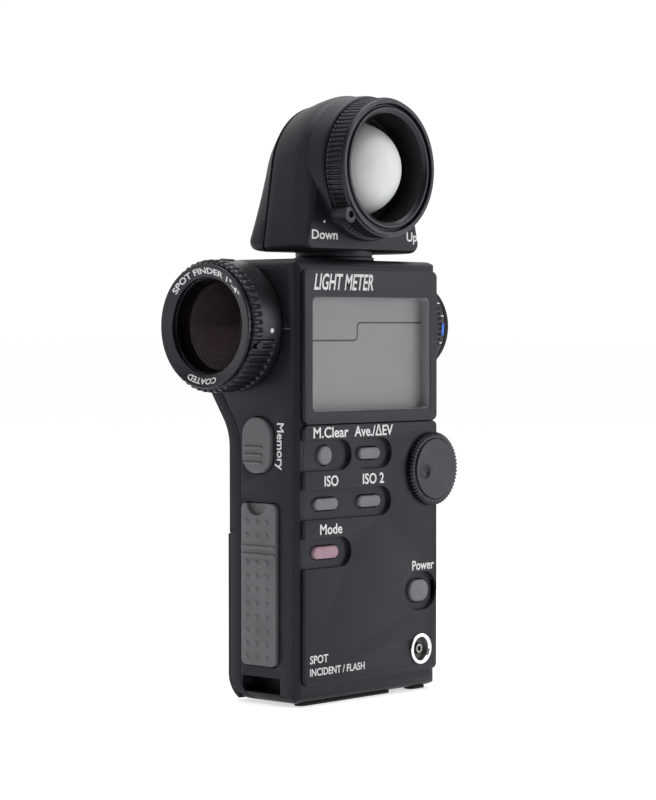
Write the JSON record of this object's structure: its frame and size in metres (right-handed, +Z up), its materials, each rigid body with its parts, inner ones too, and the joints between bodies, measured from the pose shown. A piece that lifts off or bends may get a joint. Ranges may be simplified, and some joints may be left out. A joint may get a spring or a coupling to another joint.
{
  "type": "handheld light meter",
  "caption": "Handheld photographic light meter: turning incident head with retracting dome, zoom spot lens, eyepiece, display, keys, jog wheel and tripod socket.",
  "frame": {"origin": "mouth of the tripod socket, at the middle of the base and straight under the head's swivel axis", "axes": "+Z up, +X from the zoom lens towards the eyepiece, -Y out of the display face"},
  "size_m": [0.0898, 0.0497, 0.1706],
  "materials": {
    "casing": "fine satin grain, charcoal",
    "panel": "smooth satin, charcoal",
    "clear_pane": "clear, polished",
    "baffle": "matt dark grey",
    "lcd": "flat grey display film",
    "board": "green solder mask",
    "chip": "matt black moulded resin",
    "switch_body": "light grey",
    "key_grey": "satin mid grey",
    "key_mauve": "satin dusty mauve",
    "side_grey": "satin dark grey",
    "steel": "fine brushed",
    "wheel": "satin, knurled rim",
    "plating": "bright plated",
    "insulator": "brown moulded resin",
    "contact": "plain brass",
    "foot": "matt black rubber",
    "cell_case": "wrapped dry cell",
    "white_dome": "translucent white, matt",
    "sensor": "dark violet filter",
    "lens_black": "matt black, ribbed",
    "window_glass": "coated, reddish dark",
    "lens_glass": "coated",
    "eye_rubber": "soft matt black"
  },
  "bodies": {
    "body": {"front_shell": "casing", "rear_shell": "casing", "display_bezel": "panel", "display_window": "clear_pane", "lcd_baffle": "baffle", "lcd_glass": "lcd", "main_board": "board", "board_chips": "chip", "key_switches": "switch_body", "side_board": "board", "bar_pin": "steel", "jog_encoder": "chip", "sync_shell": "plating", "sync_insulator": "insulator", "sync_contact": "contact", "tripod_bush": "steel", "base_feet": "foot", "case_screws": "steel", "battery_cell": "cell_case", "battery_contacts": "steel", "neck_collar": "casing", "lens_barrel": "lens_black", "objective_bezel": "panel", "objective_window": "window_glass", "objective_cell": "lens_black", "objective_lens": "lens_glass", "spot_tube": "lens_black", "prism": "lens_glass", "spot_cell": "sensor", "eyepiece_tube": "lens_black", "eyepiece_nut": "steel", "eye_cup": "eye_rubber"},
    "head": {"swivel_shaft": "steel", "shaft_ring": "steel", "head_front_shell": "casing", "head_rear_shell": "casing", "head_screws": "steel", "dome_guard": "casing", "light_cell": "sensor", "sensor_board": "board"},
    "dome_ring": {"retracting_ring": "lens_black"},
    "diffuser": {"dome": "white_dome", "dome_carrier": "baffle"},
    "zoom": {"zoom_ring": "lens_black"},
    "zoom_group": {"zoom_carrier": "lens_black", "zoom_lens": "lens_glass"},
    "dioptre": {"dioptre_ring": "lens_black"},
    "eye_group": {"eyepiece_cell": "lens_black", "eye_lens": "lens_glass"},
    "jog": {"jog_wheel": "wheel"},
    "clear_key": {"clear_button": "key_grey"},
    "average_key": {"average_button": "key_grey"},
    "iso_one_key": {"iso_one_button": "key_grey"},
    "iso_two_key": {"iso_two_button": "key_grey"},
    "mode_key": {"mode_button": "key_mauve"},
    "power_key": {"power_button": "key_grey"},
    "memory_key": {"memory_button": "side_grey"},
    "bar": {"measuring_bar": "side_grey"},
    "cover": {"battery_cover": "casing"},
    "latch": {"battery_latch": "casing"}
  },
  "joints": [
    {"name": "head_swivel", "type": "hinge", "parent": "body", "child": "head", "pos_m": [0, 0, 0.1227], "axis": [0, 0, 1], "range_deg": [-90, 180]},
    {"name": "dome_ring_turn", "type": "hinge", "parent": "head", "child": "dome_ring", "pos_m": [0, -0.0175, 0.1494], "axis": [0, -1, 0], "range_deg": [0, 97]},
    {"name": "dome_slide", "type": "slide", "parent": "head", "child": "diffuser", "axis": [0, -1, 0], "range_m": [0, 0.006]},
    {"name": "zoom_ring_turn", "type": "hinge", "parent": "body", "child": "zoom", "pos_m": [-0.0355, 0.0098, 0.1051], "axis": [1, 0, 0], "range_deg": [0, 110]},
    {"name": "zoom_group_slide", "type": "slide", "parent": "body", "child": "zoom_group", "axis": [1, 0, 0], "range_m": [0, 0.006]},
    {"name": "dioptre_turn", "type": "hinge", "parent": "body", "child": "dioptre", "pos_m": [0.0412, 0.0098, 0.1051], "axis": [1, 0, 0], "range_deg": [-60, 60]},
    {"name": "eye_group_slide", "type": "slide", "parent": "body", "child": "eye_group", "axis": [1, 0, 0], "range_m": [-0.0015, 0.0015]},
    {"name": "jog_turn", "type": "hinge", "parent": "body", "child": "jog", "pos_m": [0.0254, -0.0155, 0.064], "axis": [0, 1, 0], "continuous": true},
    {"name": "clear_key_press", "type": "slide", "parent": "body", "child": "clear_key", "axis": [0, 1, 0], "range_m": [0, 0.0006], "stiffness_N_per_m": 300, "springref_m": -0.001},
    {"name": "average_key_press", "type": "slide", "parent": "body", "child": "average_key", "axis": [0, 1, 0], "range_m": [0, 0.0006], "stiffness_N_per_m": 300, "springref_m": -0.001},
    {"name": "iso_one_key_press", "type": "slide", "parent": "body", "child": "iso_one_key", "axis": [0, 1, 0], "range_m": [0, 0.0006], "stiffness_N_per_m": 300, "springref_m": -0.001},
    {"name": "iso_two_key_press", "type": "slide", "parent": "body", "child": "iso_two_key", "axis": [0, 1, 0], "range_m": [0, 0.0006], "stiffness_N_per_m": 300, "springref_m": -0.001},
    {"name": "mode_key_press", "type": "slide", "parent": "body", "child": "mode_key", "axis": [0, 1, 0], "range_m": [0, 0.0006], "stiffness_N_per_m": 300, "springref_m": -0.001},
    {"name": "power_key_press", "type": "slide", "parent": "body", "child": "power_key", "axis": [0, 1, 0], "range_m": [0, 0.0006], "stiffness_N_per_m": 300, "springref_m": -0.001},
    {"name": "memory_key_press", "type": "slide", "parent": "body", "child": "memory_key", "axis": [1, 0, 0], "range_m": [0, 0.0008], "stiffness_N_per_m": 300, "springref_m": -0.001},
    {"name": "bar_press", "type": "hinge", "parent": "body", "child": "bar", "pos_m": [-0.0284, 0, 0.0132], "axis": [0, 1, 0], "range_deg": [0, 1.2], "stiffness_Nm_per_rad": 0.5, "springref_deg": -1.15},
    {"name": "cover_lift", "type": "slide", "parent": "body", "child": "cover", "axis": [0, 1, 0], "range_m": [0, 0.02]},
    {"name": "latch_slide", "type": "slide", "parent": "cover", "child": "latch", "axis": [1, 0, 0], "range_m": [0, 0.004]}
  ],
  "couplings": [
    {"joint": "dome_slide", "follows": "dome_ring_turn", "m_per_rad": 0.003544},
    {"joint": "zoom_group_slide", "follows": "zoom_ring_turn", "m_per_rad": 0.003125},
    {"joint": "eye_group_slide", "follows": "dioptre_turn", "m_per_rad": 0.00143}
  ]
}
